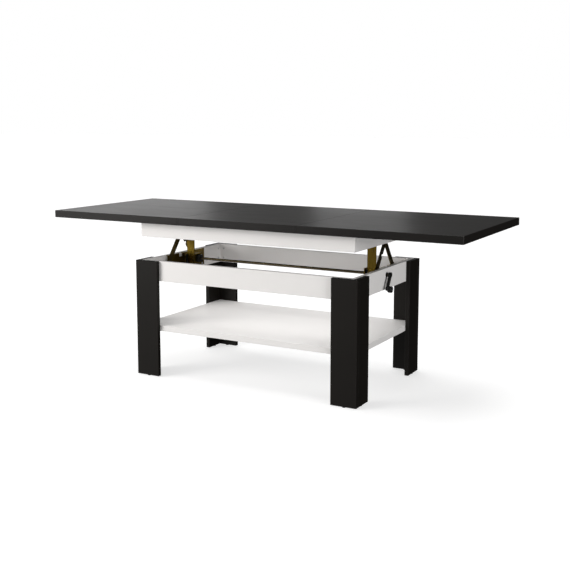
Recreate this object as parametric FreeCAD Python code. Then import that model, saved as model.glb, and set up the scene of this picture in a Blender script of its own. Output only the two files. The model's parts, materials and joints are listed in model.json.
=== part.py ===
import FreeCAD, Part
import math
import os

# Height-adjustable, extending coffee table, shown raised and extended.
# Origin on the floor under the middle of the top, +X to the crank end, +Y to the back, +Z up.
# All lengths are in millimetres.

# Table top: two sliding halves with a loose insert between them, at its raised height
TABLE_HEIGHT = 630.0
TOP_LENGTH = 1700.0
TOP_WIDTH = 640.0
TOP_THICKNESS = 28.0
INSERT_LENGTH = 500.0
SEAM_GAP = 0.3
RELEASE_TRAVEL = 30.0

# Legs: four L-shaped corners, each of two boards, on glides
LEG_FRAME_LENGTH = 942.0
LEG_FRAME_WIDTH = 578.0
LEG_FACE_WIDTH = 100.0
LEG_SIDE_WIDTH = 100.0
LEG_THICKNESS = 16.0
GLIDE_HEIGHT = 3.0
GLIDE_RADIUS = 6.5

# Lower box and shelf, both held inside the legs
LOWER_BOARD_HEIGHT = 78.0
LOWER_BOARD_THICKNESS = 16.0
SHELF_THICKNESS = 22.0
SHELF_TOP = 202.0
DOWEL_RADIUS = 4.0
DOWEL_LENGTH = 28.0

# Upper box, fixed under the top and carried by the lift; lowered, it stops just above the lower box
LIFT_TRAVEL = 90.0
LOWERED_GAP = 1.0
UPPER_INSET = 1.0
UPPER_HEIGHT = 58.0
UPPER_BOARD_THICKNESS = 15.0
UPPER_BLOCK_SIZE = 24.0

# Runners of the top halves, in slotted rails on the upper box
RAIL_WIDTH = 24.0
RAIL_HEIGHT = 16.0
RAIL_WALL = 1.5
RAIL_SLOT = 12.0
RAIL_FIN = 14.0
RAIL_SCREW_INSET = 48.5
RUNNER_INSET = 10.0
SLIDE_CLEARANCE = 0.5

# Side plates of the lift: folded steel, standing off the boards
PLATE_THICKNESS = 2.5
PLATE_STANDOFF = 6.0
PLATE_HALF_LENGTH = 135.0
PLATE_DROP = 69.0
TRACK_TOP_MARGIN = 12.0
TRACK_END_MARGIN = 15.0
UPPER_PLATE_HEIGHT = 44.0
UPPER_PLATE_LIFT = 2.0
UPPER_SCREW_EDGE = 20.0
UPPER_SCREW_SPACING = 40.0

# Stabiliser arms: an inverted V at each end, offset from the middle of the depth
ARM_WIDTH = 24.0
ARM_THICKNESS = 3.0
ARM_GAP = 0.5
ARM_REST_ANGLE = 53.0
ARM_APEX_OFFSET = 47.0
ARM_APEX_HEIGHT = -4.0
FOOT_DROP = 37.0
ARM_PIN_RADIUS = 4.0
PIN_HEAD_RADIUS = 7.0
PIN_HEAD_HEIGHT = 2.0
FOOT_SLOT_CLEARANCE = 0.4
FOOT_SLOT_STATION_COUNT = 7
FOOT_PIN_END_GAP = 2.0
SHAFT_RELIEF = 1.5
RELIEF_STEP = 3.0
RELIEF_STATION_COUNT = 6

# Drive: crank, through shaft, and a pinion and rack post at each end
SHAFT_RADIUS = 5.0
SHAFT_DROP = 24.0
RUNNING_CLEARANCE = 0.05
GEAR_MODULE = 1.5
PINION_TEETH = 12
FLANK_POINT_COUNT = 4
PRESSURE_ANGLE = 20.0
TOOTH_ADDENDUM = 1.3
TOOTH_DEDENDUM = 1.75
BACKLASH = 0.4
GEAR_WIDTH = 20.0
RACK_BACK = 4.0
RACK_RUNOUT = 12.0
POST_WIDTH = 36.0
POST_THICKNESS = 3.0
POST_ARM_GAP = 3.0
POST_FOOT = 20.0
POST_TOP_GAP = 12.0
RIVET_RADIUS = 3.0
RIVET_HEAD_RADIUS = 5.0
RIVET_HEAD_HEIGHT = 2.0
ANGLE_HEIGHT = 25.0
ANGLE_LENGTH = 30.0

# Gear bracket, post guides and bearings at each end of the shaft
BRACKET_THICKNESS = 3.0
BRACKET_CHEEK_GAP = 4.0
BRACKET_RAISE = 1.0
BRACKET_FRONT = 30.0
BRACKET_BACK = 24.0
BRACKET_CHEEK_RISE = 22.0
BRACKET_FLANGE_HEIGHT = 13.0
GUIDE_WALL = 5.0
GUIDE_GRIP = 3.0
GUIDE_RISE = 15.0
GUIDE_CLEARANCE = 0.1
GUIDE_ARM_GAP = 0.3
BUSH_WALL = 3.0
BUSH_FLANGE = 2.0
BUSH_FLANGE_THICKNESS = 1.5
BRAKE_LENGTH = 13.0
BRAKE_SIZE = 28.0
BRAKE_SLIT = 1.5
BRAKE_SCREW_RADIUS = 2.0

# Crank on the right-hand end
CRANK_BUSH_RADIUS = 7.0
CRANK_FLANGE_RADIUS = 9.5
CRANK_FLANGE_THICKNESS = 2.0
CRANK_NECK = 6.0
CRANK_HUB_RADIUS = 9.5
CRANK_HUB_LENGTH = 10.5
CRANK_ARM_LENGTH = 56.6
CRANK_ARM_ROOT_WIDTH = 14.0
CRANK_ARM_WIDTH = 12.0
CRANK_ARM_THICKNESS = 8.0
CRANK_LEAN = 31.0
CRANK_GAP = 0.5
GRIP_RADIUS = 12.0
GRIP_LENGTH = 16.0
GRIP_ROUND = 3.0
GRIP_PIN_RADIUS = 3.0
GRIP_CAP_RADIUS = 5.0
GRIP_CAP_THICKNESS = 1.5

# Screws and edges
SCREW_RADIUS = 2.0
SCREW_HEAD_RADIUS = 4.0
SCREW_HEAD_HEIGHT = 2.2
SCREW_DEPTH = 9.0
LEG_SCREW_DEPTH = 26.0
LEG_SCREW_INSET = 50.0
LEG_SCREW_EDGE = 19.0
LEG_SCREW_CORNER = 16.0
EDGE_BREAK = 0.8

V = FreeCAD.Vector
X_AXIS = V(1, 0, 0)
Y_AXIS = V(0, 1, 0)
Z_AXIS = V(0, 0, 1)

# Planes that several pieces share
frame_x = LEG_FRAME_LENGTH / 2
frame_y = LEG_FRAME_WIDTH / 2
lower_x = frame_x - LEG_THICKNESS
lower_y = frame_y - LEG_THICKNESS
lower_inner_x = lower_x - LOWER_BOARD_THICKNESS
lower_inner_y = lower_y - LOWER_BOARD_THICKNESS
top_under = TABLE_HEIGHT - TOP_THICKNESS
upper_top = top_under - SLIDE_CLEARANCE
upper_bottom = top_under - UPPER_HEIGHT
leg_top = upper_bottom - LIFT_TRAVEL - LOWERED_GAP
lower_bottom = leg_top - LOWER_BOARD_HEIGHT
upper_x = lower_x - UPPER_INSET
upper_y = lower_y - UPPER_INSET
upper_inner_x = upper_x - UPPER_BOARD_THICKNESS
upper_inner_y = upper_y - UPPER_BOARD_THICKNESS
rail_fin_end = upper_inner_x - UPPER_BLOCK_SIZE - SLIDE_CLEARANCE

# Depth of each layer of the lift at the right-hand end, from the board inwards
track_x = lower_inner_x - PLATE_STANDOFF
track_face = track_x - PLATE_THICKNESS
upper_plate_back = upper_inner_x - PLATE_STANDOFF
upper_plate_face = upper_plate_back - PLATE_THICKNESS
outer_arm_x = min(track_face, upper_plate_face) - ARM_GAP
inner_arm_x = outer_arm_x - ARM_THICKNESS - ARM_GAP
arm_inside = inner_arm_x - ARM_THICKNESS
post_outer = arm_inside - POST_ARM_GAP
post_inner = post_outer - POST_WIDTH
post_middle = (post_inner + post_outer) / 2
cheek_outer = post_inner - BRACKET_CHEEK_GAP
cheek_inner = cheek_outer - BRACKET_THICKNESS

# Heights and depths of the gear train
shaft_height = leg_top - SHAFT_DROP
pinion_pitch = GEAR_MODULE * PINION_TEETH / 2
rack_pitch_y = -pinion_pitch
rack_root_y = rack_pitch_y - TOOTH_DEDENDUM
rack_back_y = rack_root_y - RACK_BACK
post_front_y = rack_back_y - POST_THICKNESS
plate_bottom = leg_top - PLATE_DROP
web_bottom = plate_bottom + BRACKET_RAISE
web_top = web_bottom + BRACKET_THICKNESS

# Arm geometry: the foot slot is the path that keeps the arm angle in step with the lift
apex_z = upper_bottom + ARM_APEX_HEIGHT
foot_height = leg_top - FOOT_DROP
arm_rise = apex_z - foot_height
arm_length = arm_rise / math.sin(math.radians(ARM_REST_ANGLE))
arm_low_angle = math.degrees(math.asin((arm_rise - LIFT_TRAVEL) / arm_length))
arm_degrees_per_mm = (ARM_REST_ANGLE - arm_low_angle) / LIFT_TRAVEL
arm_low_reach = arm_length * math.cos(math.radians(arm_low_angle))
foot_slot_radius = ARM_PIN_RADIUS + FOOT_SLOT_CLEARANCE

# The V stands off the shaft, and its foot slots end short of the leg screws in the box's corners
track_limit = lower_inner_y - LEG_SCREW_CORNER - SCREW_HEAD_RADIUS - SLIDE_CLEARANCE
arm_apex_offset = min(ARM_APEX_OFFSET, track_limit - TRACK_END_MARGIN - arm_low_reach)


def block(x, y, z):
    """Rectangular solid between pairs of coordinates."""
    low = V(min(x), min(y), min(z))
    high = V(max(x), max(y), max(z))
    size = high - low
    return Part.makeBox(size.x, size.y, size.z, low)


def board(x, y, z):
    """Panel with its edges broken, as edge-banded board has."""
    panel = block(x, y, z)
    return panel.makeChamfer(EDGE_BREAK, panel.Edges)


def rod(start, end, radius):
    """Cylinder between two points."""
    direction = end - start
    return Part.makeCylinder(radius, direction.Length, start, direction)


def prism(points, thickness):
    """Closed outline through the points, thickened along a vector."""
    outline = Part.makePolygon(points + [points[0]])
    return Part.Face(outline).extrude(thickness)


def mirrored(shape):
    """Copy for the other end, mirrored across the middle of the length."""
    return shape.mirror(V(0, 0, 0), X_AXIS)


def turned(shape):
    """Copy for the other end, turned half a turn about the middle."""
    copy = shape.copy()
    copy.rotate(V(0, 0, 0), Z_AXIS, 180)
    return copy


def screw(head_seat, direction, depth=SCREW_DEPTH):
    """Pan-head screw whose head stands on a face and whose shank goes in."""
    shank = rod(head_seat, head_seat + direction * depth, SCREW_RADIUS)
    head = rod(head_seat - direction * SCREW_HEAD_HEIGHT, head_seat, SCREW_HEAD_RADIUS)
    return shank.fuse(head).removeSplitter()


def drilled(shape, holes):
    """Shape with each cutter taken out."""
    for hole in holes:
        shape = shape.cut(hole)
    return shape


def save(name, shapes):
    """Write one node; a list of solids is a group."""
    solids = [solid for shape in shapes for solid in shape.Solids]
    node = solids[0] if len(solids) == 1 else Part.makeCompound(solids)
    node.exportStep("parts/" + name + ".step")


def leg_boards(sx, sy):
    """Face board and side board of one L-shaped leg."""
    face = board((sx * (frame_x - LEG_FACE_WIDTH), sx * frame_x),
                 (sy * lower_y, sy * frame_y), (GLIDE_HEIGHT, leg_top))
    side = board((sx * lower_x, sx * frame_x),
                 (sy * (frame_y - LEG_SIDE_WIDTH), sy * lower_y), (GLIDE_HEIGHT, leg_top))
    return face, side


def leg_glides(sx, sy):
    """Round glides under one leg, one below each board."""
    face_x = frame_x - LEG_FACE_WIDTH / 2
    side_y = frame_y - LEG_SIDE_WIDTH / 2
    middle = LEG_THICKNESS / 2
    spots = [V(sx * face_x, sy * (frame_y - middle), 0),
             V(sx * (frame_x - middle), sy * side_y, 0)]
    return [rod(spot, spot + Z_AXIS * GLIDE_HEIGHT, GLIDE_RADIUS) for spot in spots]


def leg_screws(sx, sy):
    """Screws from inside the lower box into both boards of one leg."""
    heights = [lower_bottom + LEG_SCREW_EDGE, leg_top - LEG_SCREW_EDGE]
    across_x = sx * (frame_x - LEG_SCREW_INSET)
    across_y = sy * (lower_inner_y - LEG_SCREW_CORNER)
    screws = []
    for z in heights:
        screws.append(screw(V(across_x, sy * lower_inner_y, z), Y_AXIS * sy, LEG_SCREW_DEPTH))
        screws.append(screw(V(sx * lower_inner_x, across_y, z), X_AXIS * sx, LEG_SCREW_DEPTH))
    return screws


def shelf_dowels(sx, sy):
    """Dowels between the shelf's edges and both boards of one leg."""
    z = SHELF_TOP - SHELF_THICKNESS / 2
    half = DOWEL_LENGTH / 2
    face_x = sx * (frame_x - LEG_FACE_WIDTH / 2)
    side_y = sy * (frame_y - LEG_SIDE_WIDTH / 2)
    return [rod(V(face_x, sy * (lower_y - half), z), V(face_x, sy * (lower_y + half), z), DOWEL_RADIUS),
            rod(V(sx * (lower_x - half), side_y, z), V(sx * (lower_x + half), side_y, z), DOWEL_RADIUS)]


def lower_boards():
    """Front, rear, left and right boards of the lower box."""
    z = (lower_bottom, leg_top)
    front = board((-lower_x, lower_x), (-lower_y, -lower_inner_y), z)
    rear = board((-lower_x, lower_x), (lower_inner_y, lower_y), z)
    left = board((-lower_x, -lower_inner_x), (-lower_inner_y, lower_inner_y), z)
    right = board((lower_inner_x, lower_x), (-lower_inner_y, lower_inner_y), z)
    return {"front": front, "rear": rear, "left": left, "right": right}


def upper_boards():
    """Front, rear, left and right boards of the upper box."""
    z = (upper_bottom, upper_top)
    front = board((-upper_x, upper_x), (-upper_y, -upper_inner_y), z)
    rear = board((-upper_x, upper_x), (upper_inner_y, upper_y), z)
    left = board((-upper_x, -upper_inner_x), (-upper_inner_y, upper_inner_y), z)
    right = board((upper_inner_x, upper_x), (-upper_inner_y, upper_inner_y), z)
    return {"front": front, "rear": rear, "left": left, "right": right}


def upper_corner_blocks():
    """Blocks that stiffen the corners of the upper box, below the rails."""
    top = upper_top - SLIDE_CLEARANCE * 2 - RAIL_HEIGHT - EDGE_BREAK
    blocks = []
    for sx in (-1, 1):
        for sy in (-1, 1):
            blocks.append(board((sx * (upper_inner_x - UPPER_BLOCK_SIZE), sx * upper_inner_x),
                                (sy * (upper_inner_y - UPPER_BLOCK_SIZE), sy * upper_inner_y),
                                (upper_bottom + EDGE_BREAK, top)))
    return blocks


def guide_rail(sy):
    """Slotted rail along the upper box that the runners of the halves slide in."""
    top = upper_top - SLIDE_CLEARANCE * 2
    bottom = top - RAIL_HEIGHT
    inner = upper_inner_y - RAIL_WIDTH
    middle = upper_inner_y - RAIL_WIDTH / 2
    x = (-upper_inner_x + SLIDE_CLEARANCE, upper_inner_x - SLIDE_CLEARANCE)
    profile = block(x, (sy * inner, sy * upper_inner_y), (bottom, top))
    hollow = block(x, (sy * (inner + RAIL_WALL), sy * (upper_inner_y - RAIL_WALL)),
                   (bottom + RAIL_WALL, top - RAIL_WALL))
    slot = block(x, (sy * (middle - RAIL_SLOT / 2), sy * (middle + RAIL_SLOT / 2)),
                 (top - RAIL_WALL, top))
    fin = block((-rail_fin_end, rail_fin_end), (sy * (upper_inner_y - RAIL_WALL), sy * upper_inner_y),
                (bottom - RAIL_FIN, bottom))
    return drilled(profile, [hollow, slot]).fuse(fin).removeSplitter()


def runner(sx, sy):
    """T-shaped runner under one half of the top, inside the rail."""
    rail_top = upper_top - SLIDE_CLEARANCE * 2
    rail_bottom = rail_top - RAIL_HEIGHT
    middle = sy * (upper_inner_y - RAIL_WIDTH / 2)
    start = INSERT_LENGTH / 2 + RUNNER_INSET
    end = upper_inner_x - RELEASE_TRAVEL - SLIDE_CLEARANCE * 2
    x = (sx * start, sx * end)
    head_half = RAIL_WIDTH / 2 - RAIL_WALL - SLIDE_CLEARANCE
    web_half = RAIL_SLOT / 2 - SLIDE_CLEARANCE
    head_top = rail_top - RAIL_WALL - SLIDE_CLEARANCE
    head_bottom = rail_bottom + RAIL_WALL + SLIDE_CLEARANCE
    head = block(x, (middle - head_half, middle + head_half), (head_bottom, head_top))
    web = block(x, (middle - web_half, middle + web_half), (head_top, top_under))
    return head.fuse(web).removeSplitter()


def top_half(sx):
    """Sliding half of the table top."""
    return board((sx * INSERT_LENGTH / 2, sx * TOP_LENGTH / 2),
                 (-TOP_WIDTH / 2, TOP_WIDTH / 2), (top_under, TABLE_HEIGHT))


def insert_leaf():
    """Loose middle leaf of the table top."""
    half = INSERT_LENGTH / 2 - SEAM_GAP
    return board((-half, half), (-TOP_WIDTH / 2, TOP_WIDTH / 2), (top_under, TABLE_HEIGHT))


def arm_angle(lift):
    """Arm angle below the horizontal, in radians, for a lift in millimetres from rest."""
    return math.radians(ARM_REST_ANGLE + arm_degrees_per_mm * lift)


def foot_point(lift, side):
    """Foot of an arm of the right-hand V in the depth and height plane; side -1 is the front arm."""
    angle = arm_angle(lift)
    y = arm_apex_offset + side * arm_length * math.cos(angle)
    z = apex_z + lift - arm_length * math.sin(angle)
    return V(track_face, y, z)


def foot_slot(side):
    """Curved slot in the right-hand side plate that one foot pin runs in."""
    step = LIFT_TRAVEL / (FOOT_SLOT_STATION_COUNT - 1)
    upper_edge = []
    lower_edge = []
    for i in range(FOOT_SLOT_STATION_COUNT):
        lift = -i * step
        here = foot_point(lift, side)
        along = foot_point(lift - step / 10, side) - foot_point(lift + step / 10, side)
        across = X_AXIS.cross(along).normalize() * foot_slot_radius
        upper_edge.append(here + across)
        lower_edge.append(here - across)
    ends = []
    for lift, sign in ((0, -1), (-LIFT_TRAVEL, 1)):
        along = foot_point(lift - step / 10, side) - foot_point(lift + step / 10, side)
        ends.append(foot_point(lift, side) + along.normalize() * sign * foot_slot_radius)
    upper_curve = Part.BSplineCurve()
    upper_curve.interpolate(upper_edge)
    lower_curve = Part.BSplineCurve()
    lower_curve.interpolate(lower_edge)
    outline = Part.Wire(Part.__sortEdges__([
        upper_curve.toShape(),
        Part.Arc(upper_edge[-1], ends[1], lower_edge[-1]).toShape(),
        lower_curve.toShape(),
        Part.Arc(lower_edge[0], ends[0], upper_edge[0]).toShape()]))
    return Part.Face(outline).extrude(X_AXIS * PLATE_THICKNESS)


def side_plate():
    """Right-hand side plate: folded edges against the board, slots for the arm feet."""
    front = foot_point(-LIFT_TRAVEL, -1).y - TRACK_END_MARGIN
    back = foot_point(-LIFT_TRAVEL, 1).y + TRACK_END_MARGIN
    track_top = foot_height + TRACK_TOP_MARGIN
    raised_back = min(PLATE_HALF_LENGTH, back)
    raised_front = max(-PLATE_HALF_LENGTH, front)
    face = block((track_face, track_x), (front, back), (plate_bottom, track_top))
    raised = block((track_face, track_x), (raised_front, raised_back), (track_top, leg_top))
    bottom_fold = block((track_x, lower_inner_x), (front, back),
                        (plate_bottom, plate_bottom + PLATE_THICKNESS))
    top_fold = block((track_x, lower_inner_x), (raised_front, raised_back),
                     (leg_top - PLATE_THICKNESS, leg_top))
    plate = face.fuse([raised, bottom_fold, top_fold]).removeSplitter()
    half = ARM_WIDTH / 2 + SLIDE_CLEARANCE
    lug_notch = block((track_face, lower_inner_x), (arm_apex_offset - half, arm_apex_offset + half),
                      (apex_z - LIFT_TRAVEL - half, leg_top))
    return drilled(plate, [foot_slot(-1), foot_slot(1), lug_notch])


def side_plate_screws():
    """Screws through the foot of the right-hand side plate into the lower box, below the arms."""
    z = plate_bottom + PLATE_THICKNESS + SCREW_HEAD_RADIUS + SLIDE_CLEARANCE
    depth = PLATE_THICKNESS + PLATE_STANDOFF + SCREW_DEPTH
    ys = [foot_point(lift, side).y for side in (-1, 1) for lift in (0, -LIFT_TRAVEL)]
    return [screw(V(track_face, y, z), X_AXIS, depth) for y in ys]


def upper_plate():
    """Right-hand upper plate: folded edges against the upper box, and a lug for the arms' pin."""
    bottom = upper_bottom + UPPER_PLATE_LIFT
    top = bottom + UPPER_PLATE_HEIGHT
    y = (-PLATE_HALF_LENGTH, PLATE_HALF_LENGTH)
    face = block((upper_plate_face, upper_plate_back), y, (bottom, top))
    bottom_fold = block((upper_plate_back, upper_inner_x), y, (bottom, bottom + PLATE_THICKNESS))
    top_fold = block((upper_plate_back, upper_inner_x), y, (top - PLATE_THICKNESS, top))
    half = ARM_WIDTH / 2
    lug = block((upper_plate_face, upper_plate_back), (arm_apex_offset - half, arm_apex_offset + half),
                (apex_z, bottom))
    lug_end = rod(V(upper_plate_face, arm_apex_offset, apex_z), V(upper_plate_back, arm_apex_offset, apex_z), half)
    return face.fuse([bottom_fold, top_fold, lug, lug_end]).removeSplitter()


def upper_plate_screws():
    """Screws through the right-hand upper plate into the upper box."""
    z = upper_bottom + UPPER_PLATE_LIFT + UPPER_PLATE_HEIGHT - SCREW_HEAD_RADIUS * 2
    end = PLATE_HALF_LENGTH - UPPER_SCREW_EDGE
    ys = (-end, -end + UPPER_SCREW_SPACING, end - UPPER_SCREW_SPACING, end)
    depth = PLATE_THICKNESS + PLATE_STANDOFF + SCREW_DEPTH
    return [screw(V(upper_plate_face, y, z), X_AXIS, depth) for y in ys]


def apex_pin():
    """Pivot pin that both arms of the right-hand V hang on."""
    start = V(arm_inside - GUIDE_ARM_GAP, arm_apex_offset, apex_z)
    shank = rod(start, V(upper_plate_back, arm_apex_offset, apex_z), ARM_PIN_RADIUS)
    head = rod(start - X_AXIS * PIN_HEAD_HEIGHT, start, PIN_HEAD_RADIUS)
    return shank.fuse(head).removeSplitter()


def shaft_relief(x):
    """Room for the shaft in the edge of the right-hand front arm, along its path at the end of the descent."""
    passes = []
    for i in range(RELIEF_STATION_COUNT):
        lift = RELIEF_STEP * i - LIFT_TRAVEL
        swing = math.degrees(arm_angle(0) - arm_angle(lift))
        offset = V(0, -arm_apex_offset, shaft_height - apex_z - lift)
        centre = V(x, arm_apex_offset, apex_z) + FreeCAD.Rotation(X_AXIS, swing).multVec(offset)
        passes.append(rod(centre, centre + X_AXIS * ARM_THICKNESS, SHAFT_RADIUS + SHAFT_RELIEF))
    return passes


def arm(side):
    """Arm of the right-hand V with its foot pin; the front arm is the inner one."""
    outer_x = inner_arm_x if side < 0 else outer_arm_x
    inner_x = outer_x - ARM_THICKNESS
    apex = V(inner_x, arm_apex_offset, apex_z)
    foot = foot_point(0, side)
    foot.x = inner_x
    through = X_AXIS * ARM_THICKNESS
    across = X_AXIS.cross(foot - apex).normalize() * (ARM_WIDTH / 2)
    bar = prism([apex + across, foot + across, foot - across, apex - across], through)
    ends = [rod(apex, apex + through, ARM_WIDTH / 2), rod(foot, foot + through, ARM_WIDTH / 2)]
    bar = bar.fuse(ends).removeSplitter()
    pivot_hole = rod(apex, apex + through, ARM_PIN_RADIUS + RUNNING_CLEARANCE)
    pin_end = V(lower_inner_x - FOOT_PIN_END_GAP, foot.y, foot.z)
    pin = rod(foot, pin_end, ARM_PIN_RADIUS)
    relief = shaft_relief(inner_x) if side < 0 else []
    return [drilled(bar, [pivot_hole, pin] + relief), pin]


def pinion():
    """Right-hand pinion with involute flanks, a tooth facing the rack."""
    base = pinion_pitch * math.cos(math.radians(PRESSURE_ANGLE))
    tip = pinion_pitch + TOOTH_ADDENDUM
    root = pinion_pitch - TOOTH_DEDENDUM

    def involute(radius):
        turn = math.acos(min(1.0, base / radius))
        return math.tan(turn) - turn

    half_tooth = (math.pi * GEAR_MODULE - BACKLASH) / (4 * pinion_pitch)
    radii = [root] + [base + (tip - base) * i / (FLANK_POINT_COUNT - 1) for i in range(FLANK_POINT_COUNT)]
    offsets = [half_tooth + involute(pinion_pitch) - involute(max(radius, base)) for radius in radii]
    points = []
    for tooth in range(PINION_TEETH):
        middle = math.pi + 2 * math.pi * tooth / PINION_TEETH
        flank = [(radius, middle - offset) for radius, offset in zip(radii, offsets)]
        flank += [(radius, middle + offset) for radius, offset in reversed(list(zip(radii, offsets)))]
        points += [V(0, radius * math.cos(angle), radius * math.sin(angle)) for radius, angle in flank]
    start = V(post_middle - GEAR_WIDTH / 2, 0, shaft_height)
    gear = prism([start + point for point in points], X_AXIS * GEAR_WIDTH)
    return gear.cut(rod(start, start + X_AXIS * GEAR_WIDTH, SHAFT_RADIUS))


def rack():
    """Right-hand rack bar, with a tooth space level with the shaft, riveted to its post."""
    pitch = math.pi * GEAR_MODULE
    bottom = shaft_height - RACK_RUNOUT
    top = shaft_height + LIFT_TRAVEL + RACK_RUNOUT
    slope = math.tan(math.radians(PRESSURE_ANGLE))
    tip_half = (pitch - BACKLASH) / 4 - TOOTH_ADDENDUM * slope
    root_half = (pitch - BACKLASH) / 4 + TOOTH_DEDENDUM * slope
    tip_y = rack_pitch_y + TOOTH_ADDENDUM
    x = post_middle - GEAR_WIDTH / 2
    points = [V(x, rack_back_y, bottom), V(x, rack_root_y, bottom)]
    first = math.ceil((bottom + root_half - shaft_height) / pitch - 0.5)
    last = math.floor((top - root_half - shaft_height) / pitch - 0.5)
    for i in range(first, last + 1):
        middle = shaft_height + (i + 0.5) * pitch
        points += [V(x, rack_root_y, middle - root_half), V(x, tip_y, middle - tip_half),
                   V(x, tip_y, middle + tip_half), V(x, rack_root_y, middle + root_half)]
    points += [V(x, rack_root_y, top), V(x, rack_back_y, top)]
    bar = prism(points, X_AXIS * GEAR_WIDTH)
    return bar.fuse(rack_rivets()).removeSplitter()


def rack_rivets():
    """Rivets of the right-hand rack, through the post, with their heads at the front."""
    rivets = []
    for z in (shaft_height, shaft_height + LIFT_TRAVEL):
        back = V(post_middle, rack_back_y, z)
        front = V(post_middle, post_front_y, z)
        head = rod(front, front - Y_AXIS * RIVET_HEAD_HEIGHT, RIVET_HEAD_RADIUS)
        rivets.append(rod(back, front, RIVET_RADIUS).fuse(head).removeSplitter())
    return rivets


def post():
    """Right-hand rack post: a flat steel bar with a round lower end."""
    top = upper_top - POST_TOP_GAP
    end_z = shaft_height - POST_FOOT + POST_WIDTH / 2
    bar = block((post_inner, post_outer), (post_front_y, rack_back_y), (end_z, top))
    end = rod(V(post_middle, post_front_y, end_z), V(post_middle, rack_back_y, end_z), POST_WIDTH / 2)
    return drilled(bar.fuse(end).removeSplitter(), rack_rivets())


def post_angle():
    """Right-hand steel angle between the upper plate and the rack post."""
    top = upper_top - POST_TOP_GAP
    z = (top - ANGLE_HEIGHT, top)
    flange = block((upper_plate_face - BRACKET_THICKNESS, upper_plate_face),
                   (rack_back_y, rack_back_y + ANGLE_LENGTH), z)
    leaf = block((post_inner, upper_plate_face), (rack_back_y, rack_back_y + BRACKET_THICKNESS), z)
    return flange.fuse(leaf).removeSplitter()


def post_screws():
    """Screws through the right-hand post into its angle."""
    z = upper_top - POST_TOP_GAP - ANGLE_HEIGHT / 2
    quarter = POST_WIDTH / 4
    depth = POST_THICKNESS + BRACKET_THICKNESS
    return [screw(V(post_middle + dx, post_front_y, z), Y_AXIS, depth) for dx in (-quarter, quarter)]


def gear_bracket():
    """Right-hand gear bracket: a cheek for the shaft, a web round the post, a flange on the side plate."""
    y = (-BRACKET_FRONT, BRACKET_BACK)
    cheek = block((cheek_inner, cheek_outer), y, (web_bottom, shaft_height + BRACKET_CHEEK_RISE))
    web = block((cheek_outer, track_face), y, (web_bottom, web_top))
    flange = block((track_face - BRACKET_THICKNESS, track_face), y,
                   (web_bottom, web_bottom + BRACKET_FLANGE_HEIGHT))
    bracket = cheek.fuse([web, flange]).removeSplitter()
    passage = block((post_inner - SLIDE_CLEARANCE, post_outer + SLIDE_CLEARANCE),
                    (post_front_y - RIVET_HEAD_HEIGHT - SLIDE_CLEARANCE,
                     rack_pitch_y + TOOTH_ADDENDUM + SLIDE_CLEARANCE), (web_bottom, web_top))
    bush_hole = rod(V(cheek_inner, 0, shaft_height), V(cheek_outer, 0, shaft_height),
                    SHAFT_RADIUS + BUSH_WALL)
    return drilled(bracket, [passage, bush_hole])


def bracket_screws():
    """Screws through the right-hand gear bracket's flange into the side plate."""
    z = web_top + SCREW_HEAD_RADIUS + SLIDE_CLEARANCE
    seat_x = track_face - BRACKET_THICKNESS
    depth = BRACKET_THICKNESS + PLATE_THICKNESS
    ys = (-BRACKET_FRONT + SCREW_HEAD_RADIUS * 2, BRACKET_BACK - SCREW_HEAD_RADIUS * 2)
    return [screw(V(seat_x, y, z), X_AXIS, depth) for y in ys]


def post_guides():
    """Right-hand pair of nylon guides that hold the edges of the post."""
    y = (post_front_y - GUIDE_WALL, rack_back_y + GUIDE_WALL)
    z = (web_top, shaft_height + GUIDE_RISE)
    inner = block((cheek_outer + BUSH_FLANGE_THICKNESS, post_inner + GUIDE_GRIP), y, z)
    outer = block((post_outer - GUIDE_GRIP, arm_inside - GUIDE_ARM_GAP), y, z)
    groove = block((post_inner - GUIDE_CLEARANCE, post_outer + GUIDE_CLEARANCE),
                   (post_front_y - GUIDE_CLEARANCE, rack_back_y + GUIDE_CLEARANCE), z)
    return [inner.cut(groove), outer.cut(groove)]


def bush(inner_end, outer_end):
    """Plain bush round the shaft, with a flange on its outer end."""
    flange_end = outer_end + BUSH_FLANGE_THICKNESS * (1 if outer_end > inner_end else -1)
    barrel = rod(V(inner_end, 0, shaft_height), V(outer_end, 0, shaft_height), SHAFT_RADIUS + BUSH_WALL)
    flange = rod(V(outer_end, 0, shaft_height), V(flange_end, 0, shaft_height),
                 SHAFT_RADIUS + BUSH_WALL + BUSH_FLANGE)
    bore = rod(V(inner_end, 0, shaft_height), V(flange_end, 0, shaft_height),
               SHAFT_RADIUS + RUNNING_CLEARANCE)
    return barrel.fuse(flange).removeSplitter().cut(bore)


def brake_clamp():
    """Friction clamp round the shaft on the left-hand gear bracket; it holds the top where it is put."""
    x = (-cheek_inner, -cheek_inner + BRAKE_LENGTH)
    half = BRAKE_SIZE / 2
    body = block(x, (-half, half), (shaft_height - half, shaft_height + half))
    bore = rod(V(x[0], 0, shaft_height), V(x[1], 0, shaft_height), SHAFT_RADIUS + RUNNING_CLEARANCE)
    slit = block(x, (0, half), (shaft_height - BRAKE_SLIT / 2, shaft_height + BRAKE_SLIT / 2))
    return drilled(body, [bore, slit, brake_screw()])


def brake_screw():
    """Screw that tightens the friction clamp."""
    x = -cheek_inner + BRAKE_LENGTH / 2
    y = (SHAFT_RADIUS + BRAKE_SIZE / 2) / 2
    top = shaft_height + BRAKE_SIZE / 2
    return screw(V(x, y, top), Z_AXIS * -1, BRAKE_SIZE - BRAKE_SCREW_RADIUS)


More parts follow.
